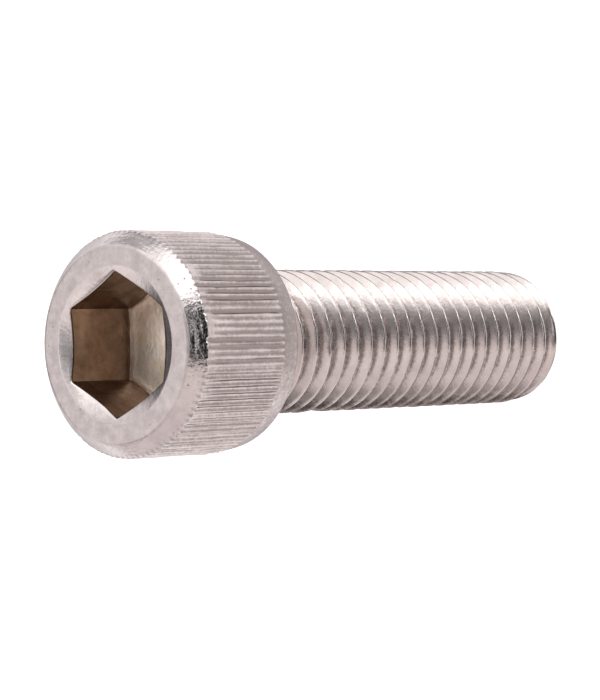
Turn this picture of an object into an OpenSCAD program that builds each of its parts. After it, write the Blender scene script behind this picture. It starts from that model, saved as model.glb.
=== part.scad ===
// Hex socket cap screw, M12 x 40, one solid piece.
// It stands on the flat end of its thread, head up: +Z runs along the screw's
// axis from the thread end to the head, and the origin is the centre of the
// thread end's face. The socket has two of its corners on the X axis.

/* [Head] */
// Diameter over the ridges of the knurled head
head_d = 18; // [17.4:0.1:19]
// Height of the head, from its bearing face to its top face
head_h = 12; // [11:0.1:13]
// Height of the 45 degree chamfer between the head's side and its top face
edge_c = 1.25; // [0.8:0.05:1.5]
// Height of the small bevel that softens the chamfer's upper corner
corner_b = 0.1; // [0.05:0.01:0.15]
// Number of straight ridges around the head
ridges = 100; // [80:1:110]
// Depth of the knurl, from the top of a ridge to the bottom of a groove
ridge_depth = 0.22; // [0.1:0.01:0.3]
// Height of the smooth tapered band between the knurl and the bearing face
band_h = 1.9; // [1.2:0.1:2.6]
// Diameter of the smooth band where it meets the knurl
band_top_d = 17.76; // [17.2:0.02:17.9]
// Diameter of the smooth band just above the bearing face
band_low_d = 17.44; // [16.8:0.02:17.5]
// Height of the small bevel around the bearing face
bevel_h = 0.25; // [0.1:0.05:0.4]

/* [Socket] */
// Width of the hexagon across its flats
socket_af = 10; // [9:0.1:10.4]
// Depth of the socket's straight walls at the corners of the hexagon
socket_depth = 6.8; // [5.5:0.1:7]
// How far the middle of the conical floor lies under its corners
floor_drop = 1.1; // [0.4:0.1:1.5]
// Outer diameter of the shallow countersink around the socket
sink_d = 12.4; // [12.1:0.02:12.8]
// Slope of the countersink, measured from the top face
sink_angle = 22; // [15:1:35]

/* [Shank] */
// Thread diameter over the crests
thread_d = 12; // [11.6:0.1:12]
// Length from the bearing face to the thread end
shank_l = 40; // [20:1:80]
// Diameter of the flat face at the thread end
end_d = 9.5; // [8.5:0.1:10]
// Radius of the fillet under the head
fillet_r = 0.6; // [0.3:0.05:0.8]

/* [Hidden] */
$fn = 128;
eps = 0.05;
total_h = shank_l + head_h;
head_r = head_d / 2;
shank_r = thread_d / 2;
end_r = end_d / 2;
end_h = shank_r - end_r;
corner_r = socket_af / sqrt(3);
sink_r = sink_d / 2;
sink_slope = tan(sink_angle);
sink_h = (sink_r - socket_af / 2 + 0.08) * sink_slope;
knurl_z = shank_l + band_h;
crown_r = head_r - ridge_depth - 0.10;
lead_z = total_h - edge_c + (head_r - crown_r);
knurl_h = lead_z - knurl_z;
face_r = head_r - edge_c;

// Points of an arc about (cx, cz), from angle a0 to a1 in n steps
function arc(cx, cz, r, a0, a1, n) = [
  for (i = [0 : n])
    let (a = a0 + (a1 - a0) * i / n)
      [cx + r * cos(a), cz + r * sin(a)]
];

// Half section of the shank: end chamfer, then plain to the fillet
module shank() {
  rotate_extrude()
    polygon(concat(
      [[0, 0], [end_r, 0], [shank_r, end_h]],
      arc(shank_r + fillet_r, shank_l - fillet_r, fillet_r, 180, 90, 6),
      [[shank_r + fillet_r, shank_l + 0.5], [0, shank_l + 0.5]]
    ));
}

// Smooth tapered band under the knurl, with a small bevel round the bearing face
module band() {
  rotate_extrude()
    polygon([
      [0, shank_l],
      [band_low_d / 2 - bevel_h, shank_l],
      [band_low_d / 2, shank_l + bevel_h],
      [band_top_d / 2, knurl_z],
      [0, knurl_z]
    ]);
}

// Outline of the knurl: one corner on each ridge and one in each groove
function knurl_points(n, r_top, r_low) = [
  for (i = [0 : 2 * n - 1])
    let (r = i % 2 == 0 ? r_top : r_low, a = 180 * i / n)
      [r * cos(a), r * sin(a)]
];

// Straight knurl: its ridges run out in the head's chamfer
module knurl() {
  intersection() {
    translate([0, 0, knurl_z])
      linear_extrude(height = knurl_h)
        polygon(knurl_points(ridges, head_r, head_r - ridge_depth));
    rotate_extrude()
      polygon([
        [0, knurl_z - 1],
        [head_r + 1, knurl_z - 1],
        [head_r + 1, lead_z - head_r - 1 + crown_r],
        [crown_r, lead_z],
        [crown_r, total_h],
        [0, total_h]
      ]);
  }
}

// Upper part of the chamfer above the knurl, and the core inside the knurl
module crown() {
  rotate_extrude()
    polygon([
      [0, shank_l + 1],
      [crown_r - 0.4, shank_l + 1],
      [crown_r - 0.4, lead_z - 0.5],
      [crown_r, lead_z - 0.5],
      [crown_r, lead_z],
      [face_r + corner_b, total_h - corner_b],
      [face_r - 1.4 * corner_b, total_h],
      [0, total_h]
    ]);
}

// Hexagonal hole with a shallow conical floor
module socket() {
  intersection() {
    translate([0, 0, total_h - socket_depth - floor_drop - 1])
      cylinder(h = socket_depth + floor_drop + 2, r = corner_r, $fn = 6);
    rotate_extrude()
      polygon([
        [0, total_h - socket_depth - floor_drop],
        [corner_r + eps, total_h - socket_depth + floor_drop * eps / corner_r],
        [corner_r + eps, total_h + 1],
        [0, total_h + 1]
      ]);
  }
}

// Shallow countersink that opens the mouth of the socket
module countersink() {
  translate([0, 0, total_h - sink_h])
    cylinder(h = sink_h + eps,
             r1 = sink_r - sink_h / sink_slope,
             r2 = sink_r + eps / sink_slope);
}

module cap_screw() {
  color([0.74, 0.71, 0.70])
    difference() {
      union() {
        shank();
        band();
        knurl();
        crown();
      }
      socket();
      countersink();
    }
}

cap_screw();
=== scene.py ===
import math
import bpy
import numpy as np
from mathutils import Matrix


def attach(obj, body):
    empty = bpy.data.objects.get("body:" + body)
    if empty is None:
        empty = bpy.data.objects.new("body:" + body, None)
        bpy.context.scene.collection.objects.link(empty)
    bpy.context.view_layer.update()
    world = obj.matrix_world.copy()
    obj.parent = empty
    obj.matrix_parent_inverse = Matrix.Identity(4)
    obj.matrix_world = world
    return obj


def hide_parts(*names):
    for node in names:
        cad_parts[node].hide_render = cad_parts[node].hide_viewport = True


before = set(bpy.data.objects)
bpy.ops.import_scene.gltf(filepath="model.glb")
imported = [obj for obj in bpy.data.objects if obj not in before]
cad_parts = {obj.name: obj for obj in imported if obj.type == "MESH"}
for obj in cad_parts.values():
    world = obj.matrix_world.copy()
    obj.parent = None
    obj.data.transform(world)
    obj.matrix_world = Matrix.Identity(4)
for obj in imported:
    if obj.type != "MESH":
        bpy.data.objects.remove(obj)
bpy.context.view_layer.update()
rng = np.random.RandomState(11)

# ---------------------------------------------------------------- dimensions
# millimetres, as in the construction model
L, H = 40.0, 12.0
TOP = L + H
HEAD_R, ROOT_R, EDGE_R = 9.0, 8.78, 1.25
BAND_H, BAND_TOP, BAND_LOW = 1.9, 8.88, 8.72
AF, DEPTH, DROP = 10.0, 6.8, 1.1
SINK_R, SINK_T = 6.2, math.tan(math.radians(22))
THREAD_R, END_R, PITCH = 6.0, 4.75, 1.75
K = 600                      # columns round the head, six to a ridge
M = 120                      # columns round the thread

# ---------------------------------------------------------------- camera
F_PX = 2851.61
C = np.array([-14.5067, -0.3930, 222.378])
YAW, PIT, SPIN = 0.7118, -0.0157, -0.0059
a = np.array([math.sin(YAW) * math.cos(PIT), math.sin(PIT), math.cos(YAW) * math.cos(PIT)])
u = np.array([0, -1.0, 0])
u = u - u.dot(a) * a
u /= np.linalg.norm(u)
v = np.cross(a, u)
u, v = u * math.cos(SPIN) + v * math.sin(SPIN), v * math.cos(SPIN) - u * math.sin(SPIN)
Wm = np.array([[0, 0, -1.0], [1.0, 0, 0], [0, -1.0, 0]]).T
R = Wm @ np.array([a, u, v])
t = (np.array([0, 0, TOP]) - R @ C) / 1000.0
cam_data = bpy.data.cameras.new("camera")
cam = bpy.data.objects.new("camera", cam_data)
bpy.context.scene.collection.objects.link(cam)
axes = np.column_stack([R @ [1, 0, 0], R @ [0, -1, 0], R @ [0, 0, -1]])
mat4 = Matrix.Identity(4)
for i in range(3):
    for j in range(3):
        mat4[i][j] = float(axes[i, j])
    mat4[i][3] = float(t[i])
cam.matrix_world = mat4
cam_data.sensor_width = 36.0
cam_data.lens = F_PX / 700.0 * 36.0
cam_data.clip_start = 0.01
cam_data.clip_end = 20.0
bpy.context.scene.camera = cam

# ---------------------------------------------------------------- head
th = 2 * np.pi * np.arange(K) / K


def smooth_noise(n, width, amp):
    x = rng.normal(size=n)
    k = np.exp(-0.5 * (np.arange(-3 * width, 3 * width + 1) / width) ** 2)
    y = np.real(np.fft.ifft(np.fft.fft(x) * np.fft.fft(np.roll(np.pad(k, (0, n - len(k))), -3 * width))))
    return y / y.std() * amp


ridge_h = 1 + rng.uniform(-0.18, 0.10, 100)          # each ridge's own height
groove_d = 1 + rng.uniform(-0.35, 0.12, 100)         # each groove's own depth
ridge_id = (np.arange(K) // 6) % 100
shape6 = np.array([1.0, 0.50, 0.10, 0.0, 0.10, 0.50])[np.arange(K) % 6]


def knurl_r(z):
    """Radius over the knurl, the same at every height (z is not used): ridges with small uneven tops and feet."""
    top = ROOT_R + (HEAD_R - ROOT_R) * np.clip(ridge_h[((np.arange(K) + 3) // 6) % 100], 0, 1)
    low = HEAD_R - (HEAD_R - ROOT_R) * np.clip(groove_d[ridge_id], 0.5, 1)
    return low + (top - low) * shape6


hexr = (AF / 2) / np.cos((th % (np.pi / 3)) - np.pi / 6)
# the two ends of each flat are very slightly rounded by the forging
corner = np.minimum(th % (np.pi / 3), np.pi / 3 - th % (np.pi / 3)) * 5.6
hexr = hexr - 0.035 * np.exp(-(corner / 0.12) ** 2)
mouth_wave = smooth_noise(K, 9, 0.018)
face_wave = smooth_noise(K, 25, 0.006)


def floor_z(r):
    return TOP - DEPTH - DROP * (1 - np.asarray(r) / (AF / math.sqrt(3)))


rings = []            # (r, z, tag)
shade_and_grime = []


def ring(r, z, tag):
    rings.append((np.broadcast_to(np.asarray(r, float), (K,)), np.broadcast_to(np.asarray(z, float), (K,)), tag))


BAND, KNURL, FACE, SINK, WALL, FLOOR, THREAD, UNDER, EDGE = range(9)
ring(6.28, L, UNDER)
ring(7.2, L, UNDER)
ring(BAND_LOW - 0.26, L, UNDER)
ring(BAND_LOW - 0.12, L + 0.035, BAND)
ring(BAND_LOW - 0.03, L + 0.13, BAND)
ring(BAND_LOW, L + 0.27, BAND)
ring(0.5 * (BAND_LOW + BAND_TOP) + 0.02, L + 1.0, BAND)
ring(BAND_TOP + smooth_noise(K, 6, 0.004), L + BAND_H - 0.14, BAND)
kz = L + BAND_H + smooth_noise(K, 4, 0.025)
kn = knurl_r(0)
ring(BAND_TOP + (kn - BAND_TOP) * 0.12 - 0.01, kz - 0.05, BAND)
ring(BAND_TOP + (kn - BAND_TOP) * 0.95, kz + 0.10, KNURL)
walk = np.zeros(100)
fade = np.clip(rng.uniform(0.10, 0.80, 100)[ridge_id] + smooth_noise(K, 20, 0.08), 0, 0.9)
for z in np.linspace(L + 2.3, TOP - EDGE_R - 0.45, 15):
    walk = 0.75 * walk + rng.normal(size=100) * 0.022
    r = kn + walk[((np.arange(K) + 3) // 6) % 100] * (0.3 + 0.7 * shape6) + rng.normal(size=K) * 0.004
    r = r + (HEAD_R - 0.02 - r) * fade * np.clip((z - (TOP - 2.7)) / 1.1, 0, 1)
    ring(np.clip(r, ROOT_R - 0.01, HEAD_R), z, KNURL)
kn = kn + (HEAD_R - 0.02 - kn) * fade
# chamfer with soft corners: the grooves run out in it, each at its own height
runout = (rng.uniform(-0.03, 0.16, 100) ** 1.0)[ridge_id] + smooth_noise(K, 12, 0.02)
profile = [(9.0, 1.45), (8.996, 1.33), (8.968, 1.23), (8.90, 1.145)]
profile += [(7.752 + dz, dz) for dz in np.linspace(1.06, 0.20, 13)]
profile += [(7.885, 0.135), (7.83, 0.085), (7.75, 0.040), (7.66, 0.010), (7.56, 0.0)]
lathe = np.zeros(K)
for n_e, (rr, dz) in enumerate(profile):
    rr = rr + 0.030 * math.sin(math.pi * min(max((dz - 0.1) / 1.2, 0.0), 1.0))
    cut = np.minimum(kn + runout * np.clip((1.30 - dz) / 0.3, 0, 1), HEAD_R)
    r = np.minimum(rr, cut)
    if 4 <= n_e < 17:
        # turned marks round the chamfer, and the finer unevenness over them
        lathe = 0.35 * lathe + smooth_noise(K, 9, 0.0050) + smooth_noise(K, 3, 0.0028)
        r = r + lathe
    elif n_e >= 17:
        r = r + smooth_noise(K, 3, 0.010)
    ring(r, TOP - dz, KNURL if n_e < 2 else (EDGE if n_e < 17 else FACE))
for s in (0.18, 0.45, 0.75, 0.93):
    r0, r1 = 7.50, SINK_R
    ring(r0 + (r1 - r0) * s, TOP, FACE)
sr = SINK_R + mouth_wave * 0.6
ring(sr + 0.03, TOP, FACE)
ring(sr - 0.05, TOP - 0.022, SINK)
for s in (0.35, 0.7):
    r = sr + (hexr + 0.09 - sr) * s
    ring(r, TOP - (SINK_R - r) * SINK_T, SINK)
zc = lambda r: TOP - (SINK_R - r) * SINK_T
ring(hexr + 0.085, zc(hexr + 0.085), SINK)
ring(hexr + 0.03 + mouth_wave * 0.3, zc(hexr) - 0.012, SINK)
ring(hexr + 0.005, zc(hexr) - 0.075, WALL)
wall_top, wall_low = zc(hexr) - 0.16, floor_z(hexr) + 0.12
for s in (0.0, 0.12, 0.3, 0.5, 0.7, 0.88, 1.0):
    ring(hexr + smooth_noise(K, 12, 0.006) * (1 - abs(2 * s - 1)), wall_top + (wall_low - wall_top) * s, WALL)
ring(hexr - 0.025, floor_z(hexr) + 0.035, WALL)
ring(hexr - 0.10, floor_z(hexr - 0.10), FLOOR)
ring(hexr - 0.26, floor_z(hexr - 0.26) + 0.035, FLOOR)
ring(hexr - 0.42, floor_z(hexr - 0.42), FLOOR)
for s in (0.8, 0.64, 0.48, 0.33, 0.2, 0.09):
    r = s * (AF / 2) * (1 - s) + s * hexr * s
    ring(r, floor_z(r) + (0.03 if s < 0.15 else 0.0), FLOOR)

verts, faces, tags = [], [], []
nr = len(rings)
for r, z, tag in rings:
    deep = np.clip((HEAD_R - r) / 0.2, 0, 1)
    # painted shade, partly grime: the knurl grooves are darkened all round; on the -X side only their flanks are
    # darkened, so valleys stay light like the crests
    flank = np.array([0.0, 1.0, 0.75, 0.15, 0.75, 1.0])[np.arange(K) % 6] * np.clip(deep * 2, 0, 1)
    side = np.clip((-np.cos(th) - 0.10) / 0.25, 0, 1) * np.clip((np.cos(th) + 0.95) / 0.15, 0, 1)
    # painted shade: the chamfer is darkened where the grooves run out in it, and the neck band under the head is
    # darkened all round, most on the +X side
    shade_and_grime.append((1.15 * deep * (1 - side) + flank * side) if tag == KNURL else (
        np.clip(1 - shape6 * 1.3, 0, 1) * np.clip((TOP - z - 0.7) / 0.5, 0, 1) if tag == EDGE else 0.56 + 0.34 * np.clip((np.cos(th) + 0.5) / 0.5, 0, 1) if tag == BAND else np.full(K, 0.12)))
    verts.append(np.column_stack([r * np.cos(th), r * np.sin(th), z]))
HV = np.concatenate(verts)
k1 = np.roll(np.arange(K), -1)
for i in range(nr - 1):
    b0, b1 = i * K, (i + 1) * K
    tag = rings[i + 1][2] if rings[i + 1][2] != rings[i][2] and rings[i][2] in (UNDER, FACE, SINK) else rings[i][2]
    for k in range(K):
        faces.append((b0 + k, b0 + k1[k], b1 + k1[k], b1 + k))
        tags.append(tag)
centre = len(HV)
HV = np.vstack([HV, [[0, 0, float(floor_z(0.0)) + 0.04]]])
b = (nr - 1) * K
for k in range(K):
    faces.append((b + k, b + k1[k], centre))
    tags.append(FLOOR)

shade_and_grime.append(np.array([0.12]))

# ---------------------------------------------------------------- thread
fr = np.array([-0.055, -0.028, 0.0, 0.028, 0.055, 0.10, 0.18, 0.27, 0.36, 0.43, 0.5, 0.57, 0.64, 0.73, 0.82, 0.90])
N = len(fr)


def depth_of(f):
    d = np.abs((f + 0.5) % 1.0 - 0.5)
    lin = 0.083 + np.sqrt(3) * PITCH * np.maximum(0, d - 0.055)
    lin = np.where(d < 0.055, 27.5 * d ** 2, lin)
    root = 1.075
    h = np.clip(0.5 + 0.5 * (root - lin) / 0.16, 0, 1)
    return root + (lin - root) * h - 0.16 * h * (1 - h)


Z_CREST = L - 5.17 - 0.30                 # a crest on the side of the camera, at -Y
m = np.arange(-3 * N, 27 * N)
cz = np.arange(M) / M
f_all = fr[m % N] + m // N
zz = (f_all[:, None] + cz[None, :]) * PITCH
shift = (Z_CREST / PITCH - 0.75) % 1.0
zz = zz + shift * PITCH - 2 * PITCH
ang = np.broadcast_to(2 * np.pi * cz[None, :], zz.shape)
dep = np.broadcast_to(depth_of(fr[m % N])[:, None], zz.shape).copy()
# runout under the head, and the lead of the rolled point
near = np.clip((zz - (L - 2.7)) / 1.5, 0, 1)
near = near * near * (3 - 2 * near)
dep = dep * (1 - near) + 0.42 * near
lead = np.clip((zz - 0.4) / 2.4, 0, 1)
dep = dep + (1 - lead) * 0.10 * (dep < 0.2)
# crests are a little uneven, with a few small nicks
crest = np.exp(-(dep / 0.12) ** 2)
wob = 0.012 * np.sin(ang * 3 + zz * 1.7) + 0.010 * np.sin(ang * 7 - zz * 2.9 + 1.0) + rng.normal(size=zz.shape) * 0.004
dep = dep + crest * (0.016 + wob)
for _ in range(46):
    a0, z0 = rng.uniform(0, 2 * np.pi), rng.uniform(3, L - 3)
    w, dd = rng.uniform(0.22, 0.5), rng.uniform(0.04, 0.13)
    da = np.abs((ang - a0 + np.pi) % (2 * np.pi) - np.pi) * 6
    dep = dep + dd * np.exp(-((da ** 2 + (zz - z0) ** 2) / w ** 2)) * np.exp(-(dep / 0.3) ** 2)
rad = THREAD_R - np.maximum(dep, 0.0)
fil = np.clip(zz - (L - 0.7), 0, 0.7)
rad = rad + (0.7 - np.sqrt(np.maximum(0, 0.49 - fil ** 2)))
zc_ = np.clip(zz, 0, L)
rad = np.minimum(rad, END_R + zc_ * 1.0)
rad = np.where(zz >= L, 6.28, np.where(zz <= 0, END_R, rad))
# painted shade on the thread crests: darkened just below every crest all round, on the crest tips towards +X and
# towards -X (there fading out towards the head), and over the crests at the far -X side; none near the head
far_side = np.array([1.5 if -0.2 < x < -0.01 or x > 0.85 else 0.0 for x in fr])[m % N][:, None]
tips = np.array([1.5 if abs(x) < 0.04 else 0.0 for x in fr])[m % N][:, None]
crest_tip_side = np.where(np.cos(ang) > 0, 0.75 * np.clip((np.cos(ang) - 0.62) / 0.25, 0, 1), np.clip((-np.cos(ang) - 0.10) / 0.30, 0, 1) * np.clip((30 - zz) / 12, 0.15, 1))
low = np.array([0.95 if abs(x) < 0.2 else 0.0 for x in fr])[m % N][:, None] * np.clip((-np.cos(ang) - 0.82) / 0.12, 0, 1)
painted_crest_shade = np.maximum(np.maximum(far_side, tips * crest_tip_side), low) * (1 - near)
# painted shade in the thread roots, darker the deeper the root, joined with the painted crest shade
shade_and_grime.append(np.maximum(0.8 * np.clip((THREAD_R - rad - 0.25) / 0.8, 0, 1), painted_crest_shade).ravel())
TV = np.column_stack([(rad * np.cos(ang)).ravel(), (rad * np.sin(ang)).ravel(), zc_.ravel()])
off = len(HV)
rows = len(m)
gid = off + np.arange(rows * M).reshape(rows, M)
for i in range(rows - 1):
    for c in range(M):
        if c < M - 1:
            q = (gid[i, c], gid[i, c + 1], gid[i + 1, c + 1], gid[i + 1, c])
        else:
            q = (gid[i, c], gid[min(i + N, rows - 1), 0], gid[min(i + 1 + N, rows - 1), 0], gid[i + 1, c])
        faces.append(q)
        tags.append(THREAD)
AV = np.vstack([HV, TV])
# bearing face's inner edge: each thread column meets five head columns
top_row = gid[-1]
for c in range(M):
    n1 = (c + 1) % M
    s0 = c * 5
    ks = [(s0 + j) % K for j in range(6)]
    for j in range(5):
        faces.append((top_row[c], ks[j + 1], ks[j]) if j < 3 else (top_row[n1], ks[j + 1], ks[j]))
        tags.append(UNDER)
    faces.append((top_row[c], top_row[n1], ks[3]))
    tags.append(UNDER)
# flat thread end, with a shallow round dimple left by the rolled point
low_row = gid[0]
prev = low_row
base = len(AV)
extra = []
for r, z in ((4.55, 0.0), (3.0, 0.0), (2.1, 0.0), (1.7, 0.10), (0.9, 0.22)):
    idx = base + np.arange(M)
    extra.append(np.column_stack([r * np.cos(2 * np.pi * cz), r * np.sin(2 * np.pi * cz), np.full(M, z)]))
    for c in range(M):
        n1 = (c + 1) % M
        faces.append((prev[c], idx[c], idx[n1], prev[n1]))
        tags.append(THREAD)
    prev = idx
    base += M
extra.append(np.array([[0, 0, 0.26]]))
for c in range(M):
    faces.append((prev[c], base, prev[(c + 1) % M]))
    tags.append(THREAD)
AV = np.vstack([AV] + extra)
shade_and_grime = np.concatenate(shade_and_grime)
shade_and_grime = np.concatenate([shade_and_grime, np.full(len(AV) - len(shade_and_grime), 0.1)])
# the inner head ring lies on the same circle as the top of the thread
key = np.round(AV * 2000).astype(np.int64)
_, first, inv = np.unique(key, axis=0, return_index=True, return_inverse=True)
inv = inv.ravel()
PV = AV[first]
out, out_tags = [], []
for q, tg in zip(faces, tags):
    w = []
    for i in q:
        j = int(inv[i])
        if j not in w:
            w.append(j)
    if len(w) >= 3:
        out.append(w)
        out_tags.append(tg)
mesh = bpy.data.meshes.new("cap_screw_detail")
mesh.from_pydata((PV / 1000.0).tolist(), [], out)
mesh.update()
att = mesh.attributes.new("groove", "FLOAT", "POINT")
att.data.foreach_set("value", shade_and_grime[first].astype(np.float32))


# ---------------------------------------------------------------- materials
def steel(name, color, dark, rough, rough_var, grain, bump, pits=0.0, brown=None, brown_amt=0.0, anis=None,
          groove=None, grain_h=0.00003, cloud_s=480.0, edge_tint=(0.50, 0.48, 0.50)):
    mat = bpy.data.materials.new(name)
    mat.use_nodes = True
    nt = mat.node_tree
    nd, ln = nt.nodes, nt.links
    bsdf = nd["Principled BSDF"]
    bsdf.inputs["Metallic"].default_value = 1.0
    bsdf.inputs["Specular Tint"].default_value = tuple(edge_tint) + (1.0,)
    co = nd.new("ShaderNodeTexCoord")

    def noise(scale, detail=4.0, rough_=0.55, stretch=None):
        n = nd.new("ShaderNodeTexNoise")
        n.inputs["Scale"].default_value = scale
        n.inputs["Detail"].default_value = detail
        n.inputs["Roughness"].default_value = rough_
        if stretch:
            mp = nd.new("ShaderNodeMapping")
            mp.inputs["Scale"].default_value = stretch
            ln.new(co.outputs["Object"], mp.inputs["Vector"])
            ln.new(mp.outputs["Vector"], n.inputs["Vector"])
        else:
            ln.new(co.outputs["Object"], n.inputs["Vector"])
        return n.outputs["Fac"]

    def ramp(src, p0, c0, p1, c1):
        r = nd.new("ShaderNodeValToRGB")
        r.color_ramp.elements[0].position = p0
        r.color_ramp.elements[0].color = c0
        r.color_ramp.elements[1].position = p1
        r.color_ramp.elements[1].color = c1
        ln.new(src, r.inputs["Fac"])
        return r.outputs["Color"]

    def mix(fac, a_, b_):
        x = nd.new("ShaderNodeMix")
        x.data_type = "RGBA"
        if isinstance(fac, float):
            x.inputs[0].default_value = fac
        else:
            ln.new(fac, x.inputs[0])
        for sock, val in ((6, a_), (7, b_)):
            if isinstance(val, tuple):
                x.inputs[sock].default_value = val
            else:
                ln.new(val, x.inputs[sock])
        return x.outputs[2]

    col4, dark4 = tuple(color) + (1.0,), tuple(dark) + (1.0,)
    cloud = noise(cloud_s, 7.0, 0.72)
    fine = noise(grain, 3.0, 0.6)
    base = mix(ramp(cloud, 0.35, (0, 0, 0, 1), 0.68, (1, 1, 1, 1)), dark4, col4)
    if brown:
        stain = noise(420.0, 6.0, 0.62)
        base = mix(ramp(stain, 0.52, (0, 0, 0, 1), 0.72, (brown_amt,) * 3 + (1,)), base, tuple(brown) + (1.0,))
    if pits:
        vo = nd.new("ShaderNodeTexVoronoi")
        vo.inputs["Scale"].default_value = 2600.0
        ln.new(co.outputs["Object"], vo.inputs["Vector"])
        sel = nd.new("ShaderNodeSeparateColor")
        ln.new(vo.outputs["Color"], sel.inputs["Color"])
        rare = nd.new("ShaderNodeMath")
        rare.operation = "GREATER_THAN"
        ln.new(sel.outputs[0], rare.inputs[0])
        rare.inputs[1].default_value = 0.90
        spot = ramp(vo.outputs["Distance"], 0.10, (1, 1, 1, 1), 0.30, (0, 0, 0, 1))
        mul = nd.new("ShaderNodeMath")
        mul.operation = "MULTIPLY"
        ln.new(rare.outputs[0], mul.inputs[0])
        ln.new(spot, mul.inputs[1])
        base = mix(mul.outputs[0], base, (color[0] * 0.68, color[1] * 0.64, color[2] * 0.62, 1.0))
    # painted shade, partly grime: the base colour is darkened where the groove attribute is high, in the knurl
    # grooves, on the neck band, in the thread roots and on parts of the crests
    if groove:
        at = nd.new("ShaderNodeAttribute")
        at.attribute_name = "groove"
        nz = nd.new("ShaderNodeMath")
        nz.operation = "MULTIPLY_ADD"
        ln.new(noise(3400.0, 4.0, 0.65), nz.inputs[0])
        nz.inputs[1].default_value = 1.5
        nz.inputs[2].default_value = -0.75
        sm = nd.new("ShaderNodeMath")
        sm.operation = "ADD"
        ln.new(at.outputs["Fac"], sm.inputs[0])
        ln.new(nz.outputs[0], sm.inputs[1])
        lo, hi, amt = groove
        fac = ramp(sm.outputs[0], lo, (0, 0, 0, 1), hi, (amt, amt, amt, 1))
        base = mix(fac, base, (dark[0] * 0.28, dark[1] * 0.25, dark[2] * 0.24, 1.0))
    ln.new(base, bsdf.inputs["Base Color"])
    mr = nd.new("ShaderNodeMapRange")
    mr.inputs["To Min"].default_value = rough - rough_var
    mr.inputs["To Max"].default_value = rough + rough_var
    ln.new(noise(700.0, 4.0), mr.inputs["Value"])
    ln.new(mr.outputs[0], bsdf.inputs["Roughness"])
    bp = nd.new("ShaderNodeBump")
    bp.inputs["Strength"].default_value = bump
    bp.inputs["Distance"].default_value = grain_h
    if anis:
        fine = noise(grain, 2.0, 0.5, anis)
    ln.new(fine, bp.inputs["Height"])
    nrm = bp
    if pits:
        b2 = nd.new("ShaderNodeBump")
        b2.invert = True
        b2.inputs["Strength"].default_value = 0.5
        b2.inputs["Distance"].default_value = 0.00005
        ln.new(mul.outputs[0], b2.inputs["Height"])
        ln.new(bp.outputs["Normal"], b2.inputs["Normal"])
        nrm = b2
    ln.new(nrm.outputs["Normal"], bsdf.inputs["Normal"])
    return mat


mats = [
    steel("steel_face", (0.73, 0.67, 0.665), (0.52, 0.475, 0.47), 0.36, 0.07, 5200.0, 1.0, pits=0.5, cloud_s=1000.0),
    steel("steel_side", (0.74, 0.675, 0.66), (0.60, 0.545, 0.535), 0.33, 0.06, 4200.0, 0.55,
          brown=(0.50, 0.43, 0.40), brown_amt=0.35, groove=(0.20, 0.90, 0.64)),
    steel("steel_thread", (0.70, 0.635, 0.62), (0.58, 0.525, 0.51), 0.20, 0.05, 2600.0, 0.35,
          brown=(0.44, 0.37, 0.33), brown_amt=0.25, groove=(0.36, 1.10, 0.80)),
    steel("steel_socket_wall", (0.58, 0.46, 0.37), (0.28, 0.20, 0.15), 0.25, 0.07, 1800.0, 0.6,
          brown=(0.50, 0.38, 0.28), brown_amt=0.6, anis=(1.0, 1.0, 0.12)),
    steel("steel_socket_floor", (1.0, 0.92, 0.82), (0.84, 0.75, 0.64), 0.32, 0.08, 2600.0, 0.7,
          brown=(0.85, 0.66, 0.38), brown_amt=0.7),
    steel("steel_edge", (0.74, 0.685, 0.68), (0.58, 0.53, 0.525), 0.15, 0.04, 3000.0, 0.8, pits=0.5,
          groove=(0.3, 1.2, 0.6), grain_h=0.00004),
    steel("steel_sink", (0.74, 0.685, 0.675), (0.56, 0.515, 0.51), 0.22, 0.06, 3000.0, 0.6, cloud_s=700.0),
]
slot_of = {BAND: 1, KNURL: 1, FACE: 0, SINK: 6, WALL: 3, FLOOR: 4, THREAD: 2, UNDER: 1, EDGE: 5}
for mt in mats:
    mesh.materials.append(mt)
mesh.polygons.foreach_set("material_index", [slot_of[tg] for tg in out_tags])
screw = bpy.data.objects.new("cap_screw_detail", mesh)
bpy.context.scene.collection.objects.link(screw)
import bmesh
bm = bmesh.new()
bm.from_mesh(mesh)
bmesh.ops.recalc_face_normals(bm, faces=bm.faces)
lim = math.radians(38)
for f in bm.faces:
    f.smooth = True
on_thread = [i for i, mt in enumerate(mats) if mt.name == "steel_thread"][0]
for e in bm.edges:
    if len(e.link_faces) == 2:
        both = all(f.material_index == on_thread for f in e.link_faces)
        e.smooth = e.calc_face_angle(0.0) < (math.radians(62) if both else lim)
open_edges = sum(1 for e in bm.edges if len(e.link_faces) != 2)
bm.to_mesh(mesh)
print("screw mesh: faces", len(bm.faces), "open or bad edges", open_edges, "volume mm3", round(bm.calc_volume() * 1e9, 1))
bm.free()
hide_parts("cap_screw")
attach(screw, "root")

# ---------------------------------------------------------------- floor
# painted light: the floor glows, evenly bright behind and under the screw, dimmer and greyer in front on the -Y side
# and darkest there towards +X; the screw is lit by it and reflects it
fm = bpy.data.materials.new("floor")
fm.use_nodes = True
fb = fm.node_tree.nodes["Principled BSDF"]
fb.inputs["Base Color"].default_value = (0.50, 0.50, 0.50, 1)
fb.inputs["Roughness"].default_value = 0.9
fb.inputs["Specular IOR Level"].default_value = 0.0
fb.inputs["Emission Color"].default_value = (1, 1, 1, 1)
fb.inputs["Emission Strength"].default_value = 1.0
fnd, fln = fm.node_tree.nodes, fm.node_tree.links
fco = fnd.new("ShaderNodeTexCoord")
fsep = fnd.new("ShaderNodeSeparateXYZ")
fln.new(fco.outputs["Object"], fsep.inputs[0])
fmr = fnd.new("ShaderNodeMapRange")
fmr.interpolation_type = "SMOOTHSTEP"
for key, val in (("From Min", -0.052), ("From Max", -0.014), ("To Min", 0.0), ("To Max", 1.0)):
    fmr.inputs[key].default_value = val
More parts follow.
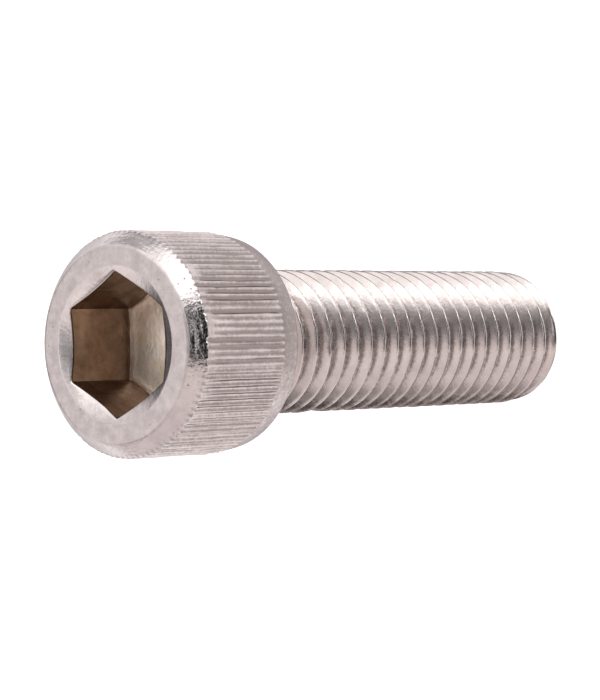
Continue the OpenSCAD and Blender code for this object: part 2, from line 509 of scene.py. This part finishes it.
fln.new(fsep.outputs["Y"], fmr.inputs["Value"])
fmix = fnd.new("ShaderNodeMix")
fmix.data_type = "RGBA"
fln.new(fmr.outputs[0], fmix.inputs[0])
fxr = fnd.new("ShaderNodeMapRange")
fxr.interpolation_type = "SMOOTHSTEP"
for key, val in (("From Min", -0.035), ("From Max", 0.020), ("To Min", 0.0), ("To Max", 1.0)):
    fxr.inputs[key].default_value = val
fln.new(fsep.outputs["X"], fxr.inputs["Value"])
fside = fnd.new("ShaderNodeMix")
fside.data_type = "RGBA"
fln.new(fxr.outputs[0], fside.inputs[0])
fside.inputs[6].default_value = (0.62, 0.565, 0.55, 1)
fside.inputs[7].default_value = (0.37, 0.34, 0.335, 1)
fln.new(fside.outputs[2], fmix.inputs[6])
fmix.inputs[7].default_value = (0.90, 0.90, 0.90, 1)
fln.new(fmix.outputs[2], fb.inputs["Emission Color"])
bpy.ops.mesh.primitive_plane_add(size=6.0, location=(0, 0, -0.00002))
floor = bpy.context.object
floor.name = "floor"
floor.data.materials.append(fm)


# ---------------------------------------------------------------- light
def area(name, loc, target, size, power, color=(1, 1, 1), size_y=None):
    ld = bpy.data.lights.new(name, "AREA")
    ld.shape = "RECTANGLE"
    ld.size = size
    ld.size_y = size_y or size
    ld.energy = power
    ld.color = color
    ob = bpy.data.objects.new(name, ld)
    bpy.context.scene.collection.objects.link(ob)
    from mathutils import Vector
    ob.location = loc
    ob.rotation_euler = (Vector(target) - Vector(loc)).to_track_quat("-Z", "Y").to_euler()
    return ob


mid = (0, 0, 0.03)
area("key_top", (0.42, -0.16, 0.30), mid, 0.30, 0.40, (1.0, 0.99, 0.98), 0.5)
area("overhead", (0.02, 0.10, 0.60), mid, 0.34, 0.10, (1.0, 1.0, 1.0))

world = bpy.data.worlds.new("studio")
bpy.context.scene.world = world
world.use_nodes = True
wn, wl = world.node_tree.nodes, world.node_tree.links
bg = wn["Background"]
tc = wn.new("ShaderNodeTexCoord")
sep = wn.new("ShaderNodeSeparateXYZ")
wl.new(tc.outputs["Generated"], sep.inputs[0])
rx = wn.new("ShaderNodeValToRGB")
mrx = wn.new("ShaderNodeMapRange")
mrx.inputs["From Min"].default_value = -1.0
mrx.inputs["From Max"].default_value = 1.0
wl.new(sep.outputs["X"], mrx.inputs["Value"])
wl.new(mrx.outputs[0], rx.inputs["Fac"])
cr = rx.color_ramp
STOPS = [(-1.0, 0.15), (-0.74, 0.16), (-0.66, 0.42), (-0.54, 0.92), (-0.30, 1.10), (-0.14, 0.92), (-0.02, 0.42),
         (0.08, 0.25), (0.22, 0.24), (0.36, 0.54), (0.50, 1.05), (0.62, 1.42), (0.80, 1.45), (0.93, 1.38), (1.0, 0.90)]
stops = [((x + 1) / 2, tuple(g * w for w in ((1.0, 0.91, 0.89) if x < -0.05 else (1.0, 0.985, 0.98)))) for x, g in STOPS]
cr.elements[0].position, cr.elements[0].color = stops[0][0], stops[0][1] + (1,)
cr.elements[1].position, cr.elements[1].color = stops[-1][0], stops[-1][1] + (1,)
for p, c_ in stops[1:-1]:
    e = cr.elements.new(p)
    e.color = c_ + (1,)


def world_range(src, lo, hi, a0, a1, absolute=False):
    if absolute:
        ab = wn.new("ShaderNodeMath")
        ab.operation = "ABSOLUTE"
        wl.new(src, ab.inputs[0])
        src = ab.outputs[0]
    n = wn.new("ShaderNodeMapRange")
    n.interpolation_type = "SMOOTHSTEP"
    for key, val in (("From Min", lo), ("From Max", hi), ("To Min", a0), ("To Max", a1)):
        n.inputs[key].default_value = val
    wl.new(src, n.inputs["Value"])
    return n.outputs[0]


def world_mix(fac, src, col):
    n = wn.new("ShaderNodeMix")
    n.data_type = "RGBA"
    wl.new(fac, n.inputs[0])
    wl.new(src, n.inputs[6])
    n.inputs[7].default_value = col + (1,)
    return n.outputs[2]


def world_mul(a_, b_):
    n = wn.new("ShaderNodeMath")
    n.operation = "MULTIPLY"
    wl.new(a_, n.inputs[0])
    wl.new(b_, n.inputs[1])
    return n.outputs[0]


X_, Y_, Z_ = sep.outputs["X"], sep.outputs["Y"], sep.outputs["Z"]
# a broad card behind and above the head
card = world_mul(world_range(Y_, -0.12, 0.45, 0, 1), world_range(X_, 0.30, 0.60, 1, 0, True))
env = world_mix(card, rx.outputs["Color"], (0.96, 0.91, 0.91))
# soft fill low on the left, and two quieter corners at the back
fill = world_mul(world_range(X_, -0.62, -0.48, 1, 0), world_range(Y_, -0.02, 0.18, 1, 0))
env = world_mix(fill, env, (0.92, 0.83, 0.82))
back_l = world_mul(world_range(X_, -0.40, -0.25, 1, 0), world_range(Y_, 0.58, 0.74, 0, 1))
env = world_mix(back_l, env, (1.28, 1.20, 1.18))
dark_l = world_mul(world_mul(world_range(X_, -0.62, -0.55, 1, 0), world_range(Y_, 0.38, 0.55, 0, 1)),
                   world_range(Z_, 0.26, 0.36, 0, 1))
env = world_mix(dark_l, env, (0.13, 0.12, 0.12))
low_l = world_mul(world_range(X_, -0.60, -0.48, 1, 0), world_range(Z_, 0.28, 0.40, 1, 0))
env = world_mix(low_l, env, (0.86, 0.785, 0.78))
low_far = world_range(X_, -0.82, -0.74, 1, 0)
env = world_mix(low_far, env, (0.86, 0.785, 0.78))
low_r = world_mul(world_mul(world_range(X_, 0.50, 0.64, 0, 1), world_range(Y_, 0.10, 0.28, 0, 1)),
                  world_range(Z_, 0.26, 0.38, 1, 0))
env = world_mix(low_r, env, (0.58, 0.565, 0.58))
# the dark side of the room, with one narrow window in it
room = world_mul(world_range(Y_, -0.58, -0.38, 1, 0),
                 world_mul(world_range(X_, -0.34, -0.20, 0, 1), world_range(X_, 0.46, 0.60, 1, 0)))
env = world_mix(room, env, (0.012, 0.012, 0.013))
window = world_mul(world_mul(world_range(Y_, -0.66, -0.63, 0, 1), world_range(Y_, -0.60, -0.57, 1, 0)),
                   world_mul(world_range(X_, -0.16, -0.08, 0, 1), world_range(X_, 0.28, 0.36, 1, 0)))
env = world_mix(window, env, (1.7, 1.7, 1.74))
lamp = world_mul(world_range(Y_, -0.84, -0.79, 1, 0),
                 world_mul(world_range(X_, 0.39, 0.43, 0, 1), world_range(X_, 0.50, 0.54, 1, 0)))
env = world_mix(lamp, env, (8.0, 8.0, 8.0))
left_up = world_mul(world_mul(world_range(X_, 0.38, 0.46, 0, 1), world_range(X_, 0.60, 0.68, 1, 0)),
                    world_mul(world_range(Y_, 0.02, 0.12, 0, 1), world_range(Y_, 0.34, 0.44, 1, 0)))
env = world_mix(left_up, env, (1.7, 1.63, 1.58))
left_low = world_mul(world_mul(world_range(X_, -0.60, -0.55, 0, 1), world_range(X_, -0.44, -0.36, 1, 0)),
                     world_mul(world_range(Y_, 0.11, 0.19, 0, 1), world_range(Y_, 0.34, 0.44, 1, 0)))
env = world_mix(left_low, env, (1.30, 1.21, 1.19))
zenith = world_mul(world_range(X_, 0.10, 0.22, 1, 0, True),
                   world_mul(world_range(Y_, -0.16, -0.08, 0, 1), world_range(Y_, 0.10, 0.24, 1, 0)))
env = world_mix(zenith, env, (0.06, 0.065, 0.07))
far = world_mul(world_range(Y_, 0.90, 0.96, 0, 1), world_range(Z_, 0.30, 0.40, 1, 0))
env = world_mix(far, env, (0.08, 0.08, 0.085))
wl.new(env, bg.inputs["Color"])

sc = bpy.context.scene
sc.view_settings.view_transform = "Standard"
sc.view_settings.look = "None"
sc.view_settings.exposure = 0.0
sc.view_settings.gamma = 1.0
